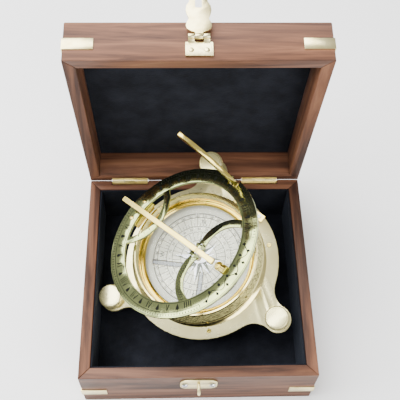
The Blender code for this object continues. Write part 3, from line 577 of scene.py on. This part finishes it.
def engrave_card():
    cut = Cut(PLATE, CARD_H)
    fine = Cut(PLATE, CARD_H, 0.03)
    centre = (0.0, 0.0)
    for r, w in CARD_RINGS:
        cut.circle(centre, r, w)
    for i in range(180):
        at = radians(2 * i)
        cut.stroke(local(centre, at, 0, 30.0 if i % 5 else 29.4), local(centre, at, 0, 31.0), 0.45)
    for i in range(72):
        at = radians(5 * i)
        outer = 28.2 if i % 2 == 0 else 24.4
        fine.stroke(local(centre, at, 0, 22.0), local(centre, at, 0, outer), 0.36)
    for i in range(36):
        at = radians(10 * i)
        fine.stroke(local(centre, at, 0, 12.2), local(centre, at, 0, 18.2), 0.34)
    cut.done("card_scale", INK, "instrument", "card")
    fine.done("card_grid", FAINT, "instrument", "card")
    entries = [("%d" % ((36 - i) % 36 * 10), 29.0, radians(10 * i), 2.0) for i in range(36)]
    entries += [("%d" % ((i * 5) % 60), 20.1, radians(15 * i + 7.5), 2.3) for i in range(24)]
    entries += [(text, 25.2, radians(at), 4.2) for text, at in (("N", 90), ("E", 0), ("S", -90), ("W", 180))]
    text_marks(entries, PLATE, CARD_H, "card_figures", INK, "instrument")
    light, dark = Cut(PLATE, CARD_H, 0.02), Cut(PLATE, CARD_H, 0.045)
    for i in range(16):
        at = radians(22.5 * i)
        reach = 17.6 if i % 4 == 0 else (14.6 if i % 2 == 0 else 11.6)
        aside = radians(22.5 if i % 2 == 0 else 11.25)
        tip = local(centre, at, 0, reach)
        dark.shape([tip, Vector((0, 0)), local(centre, at + aside, 0, ROSE_WAIST)])
        light.shape([Vector((0, 0)), tip, local(centre, at - aside, 0, ROSE_WAIST)])
    dark.done("rose_shaded_points", ROSE_DARK, "instrument", "card")
    light.done("rose_bright_points", STEEL, "instrument", "card")


def ball(bm, centre, radii, matrix):
    made = bmesh.ops.create_uvsphere(bm, u_segments=16, v_segments=8, radius=1.0)
    for v in made["verts"]:
        v.co = matrix @ Vector([centre[i] + v.co[i] * radii[i] for i in range(3)]) * MM


def turned(bm, profile, matrix, steps=28):
    """A closed (radius, height) profile spun round local Z."""
    count = len(profile)
    rows = []
    for i in range(steps):
        a = 2 * pi * i / steps
        rows.append([bm.verts.new(matrix @ Vector((r * cos(a), r * sin(a), z)) * MM) for r, z in profile])
    for i in range(steps):
        for k in range(count):
            a, b = rows[i], rows[(i + 1) % steps]
            bm.faces.new((a[k], b[k], b[(k + 1) % count], a[(k + 1) % count]))


def slotted_screw(name, matrix, radius, height, body, mat, slot):
    """A cheese-head screw with a sawn slot."""
    bm = bmesh.new()
    profile = [(0.02, 0.05), (radius, 0.05), (radius, height * 0.7), (radius * 0.86, height), (0.02, height)]
    turned(bm, profile, matrix)
    bmesh.ops.recalc_face_normals(bm, faces=bm.faces)
    head = add(name, bm, mat, body)
    head.data.shade_smooth()
    head.data.set_sharp_from_angle(angle=CREASE)
    # the slot is a flat dark mark on the head: painted shade standing in for the slot's depth
    slit = Cut(matrix, height, 0.02)
    slit.stroke((-radius * 0.82, 0), (radius * 0.82, 0), radius * 0.24)
    slit.done(name + "_slot", SHADOW, body, slot)


def round_plate(radius, degrees, height=0.0):
    """The plate's frame moved to a radius and a bearing."""
    at = radians(degrees)
    return PLATE @ Matrix.Translation((radius * cos(at), radius * sin(at), height))


def knurl(bm, place):
    """Ribs with sloping ends round a levelling screw's head."""
    rib = ((0.0, -1, 0.0), (0.0, 1, 0.0), (0.22, 0, 0.4))
    for i in range(KNURLS):
        a = 2 * pi * i / KNURLS
        v = []
        for end, inward in ((KNURL_LOW, 1), (KNURL_HIGH, -1)):
            for proud, side, step in rib:
                r, t = FOOT_HEAD_R + proud, a + side * KNURL_HALF_ANGLE
                v.append(bm.verts.new(place @ Vector((r * cos(t), r * sin(t), end + inward * step)) * MM))
        for f in ((0, 1, 2), (3, 5, 4), (0, 2, 5, 3), (1, 4, 5, 2), (0, 3, 4, 1)):
            bm.faces.new([v[k] for k in f])
    bmesh.ops.recalc_face_normals(bm, faces=bm.faces)


def trim():
    """Screws, bubbles, knurls and the small plates that finish the instrument."""
    slotted_screw("flange_screw_rear", round_plate(47.8, 68), 1.8, 0.9, "instrument", BRASS, "brass")
    for i, degrees in enumerate((-75, 175, 20)):
        slotted_screw("flange_screw_%d" % i, round_plate(47.9, degrees), 1.5, 0.8, "instrument", BRASS, "brass")
    side = PLATE @ Matrix.Rotation(radians(-96), 4, "Z") @ Matrix.Translation((DRUM_R, 0, 9.0))
    side = side @ Matrix.Rotation(pi / 2, 4, "Y")
    slotted_screw("drum_lock_screw", side, 1.5, 0.9, "instrument", STEEL, "steel")
    for i, y in enumerate((-5.4, 5.4)):
        spot = DIAL @ Matrix.Translation((-47.4, y, 19.4)) @ Matrix.Rotation(-pi / 2, 4, "Y")
        slotted_screw("bracket_screw_%d" % i, spot, 1.5, 0.8, "instrument", STEEL, "steel")
    for i, x in enumerate((-8.4, 8.4)):
        spot = DIAL @ Matrix.Translation((5.0 + x, 48.6, 1.8))
        slotted_screw("arc_bracket_screw_%d" % i, spot, 1.4, 0.7, "instrument", STEEL, "steel")
    # the bubble in each level
    for name, (x, y, dx, dy) in (("cross", (-17.0, -6.0, 2.6, 0.9)), ("long", (3.5, -18.0, 0.9, 2.6))):
        bm = bmesh.new()
        ball(bm, (x, y, 9.55), (dx, dy, 0.85), PLATE)
        made = add("level_bubble_" + name, bm, BUBBLE, "instrument")
        made.data.shade_smooth()
    for name, x, y, turn in (("cross", -20.0, -6.0, 0.0), ("long", 3.5, -20.5, pi / 2)):
        lines = Cut(PLATE @ Matrix.Translation((x, y, 0)) @ Matrix.Rotation(turn, 4, "Z"), 10.52)
        for t in (-3.2, 3.2):
            lines.stroke((t, -0.5), (t, 0.5), 0.22)
        lines.done("level_lines_" + name, INK, "instrument", "vial")
    # knurled band round each levelling screw's head
    for name, degrees, top in FEET:
        place = round_plate(FOOT_R, degrees, top)
        bm = bmesh.new()
        knurl(bm, place)
        add("screw_knurl_" + name, bm, PALE, "screw_" + name)
        rings = Cut(place, 0.0, 0.02)
        rings.circle((0, 0), 6.3, 0.14, steps=48)
        rings.done("screw_turned_line_" + name, FAINT, "screw_" + name, "brass")
    # thin wooden bead along the outside of the base's back rim, clear of the hinges
    for i, (x0, x1) in enumerate(((-74.4, -60.0), (-33.4, 33.4), (60.0, 74.4))):
        bm = bmesh.new()
        made = bmesh.ops.create_cube(bm, size=1.0)
        for v in made["verts"]:
            across = (x0 + x1) / 2 + v.co.x * (x1 - x0)
            v.co = Vector((across, 73.16 + v.co.y * 0.26, 42.2 + v.co.z * 1.5)) * MM
        bmesh.ops.bevel(bm, geom=bm.edges[:], offset=0.06 * MM, segments=2, affect="EDGES")
        add("rim_bead_%d" % i, bm, BEAD, "case")
    # cross slots in the catch's screws, as flat dark marks of painted shade
    for name, x in (("left", -8.7), ("right", 8.7)):
        face = Matrix.Translation((x, -73.1, 31.0)) @ Matrix.Rotation(pi / 2, 4, "X")
        slit = Cut(face, 2.22, 0.0)
        slit.stroke((-1.1, -0.5), (1.1, 0.5), 0.4)
        slit.done("catch_screw_slot_" + name, SHADOW, "case", "steel")
    # degree marks down the latitude arc's outer and inner faces
    upright = ARC @ Matrix(((1, 0, 0, 0), (0, 0, -1, 0), (0, 1, 0, 0), (0, 0, 0, 1)))
    for side, sign in (("outer", -1), ("inner", 1)):
        marks = Cut(upright, sign * ARC_HALF, sign * 0.03)
        for i in range(71):
            a = radians(2 + i)
            inner = 53.6 if i % 5 else 52.2
            marks.stroke(local(ARC_CENTRE, a, 0, inner), local(ARC_CENTRE, a, 0, 55.2), 0.3)
        marks.done("arc_degrees_" + side, INK, "arc", "brass")


engrave_ring()
engrave_card()
trim()


# ---------------------------------------------------------------- floor, light and camera

def build_stage():
    """A plain pale floor and a soft even sky."""
    bm = bmesh.new()
    bmesh.ops.create_grid(bm, x_segments=1, y_segments=1, size=3.0)
    mesh = bpy.data.meshes.new("studio_floor")
    bm.to_mesh(mesh)
    bm.free()
    floor = bpy.data.objects.new("studio_floor", mesh)
    floor.location.z = -0.0003
    bpy.context.scene.collection.objects.link(floor)
    s = Shade("studio_paper")
    s.colour(s.ramp(s.noise(s.coords(), 3.0), [(0.3, (0.93, 0.93, 0.93)), (0.7, (0.96, 0.96, 0.96))]))
    s.set(Roughness=0.9)
    mesh.materials.append(s.mat)
    world = bpy.data.worlds.new("studio")
    bpy.context.scene.world = world
    world.use_nodes = True
    back = world.node_tree.nodes["Background"]
    back.inputs["Color"].default_value = (0.98, 0.99, 1.0, 1.0)
    back.inputs["Strength"].default_value = 0.62


def softbox(name, place, target, size, power, colour=(1, 1, 1)):
    """A rectangular light at place, turned towards target; metres and watts."""
    light = bpy.data.lights.new(name, "AREA")
    light.shape = "RECTANGLE"
    light.size, light.size_y = size
    light.energy = power
    light.color = colour
    made = bpy.data.objects.new(name, light)
    made.location = place
    made.rotation_euler = (Vector(target) - Vector(place)).to_track_quat("-Z", "Y").to_euler()
    bpy.context.scene.collection.objects.link(made)


def build_camera():
    """The photograph's viewing angle; lens is 1.8189 image widths long."""
    pitch, yaw, roll = 0.5554, -0.0572, 0.0412
    data = bpy.data.cameras.new("camera")
    data.sensor_width = 36.0
    data.lens = 1.8189 * 36.0
    data.clip_start, data.clip_end = 0.02, 20.0
    made = bpy.data.objects.new("camera", data)
    turn = Matrix.Rotation(yaw, 4, "Z") @ Matrix.Rotation(pitch, 4, "X") @ Matrix.Rotation(roll, 4, "Z")
    made.matrix_world = Matrix.Translation(Vector((-12.22, -217.04, 484.15)) * MM) @ turn
    bpy.context.scene.collection.objects.link(made)
    bpy.context.scene.camera = made


build_stage()
softbox("key", (-0.40, 0.22, 0.95), (0, 0.02, 0.05), (1.4, 1.0), 42.0)
softbox("front_fill", (0.45, -0.75, 0.55), (0, 0, 0.05), (0.7, 0.5), 8.0, (1.0, 0.98, 0.95))
softbox("left_fill", (-0.9, -0.1, 0.45), (0, 0, 0.05), (0.5, 0.6), 3.0, (0.95, 0.98, 1.0))
build_camera()

bpy.context.view_layer.update()
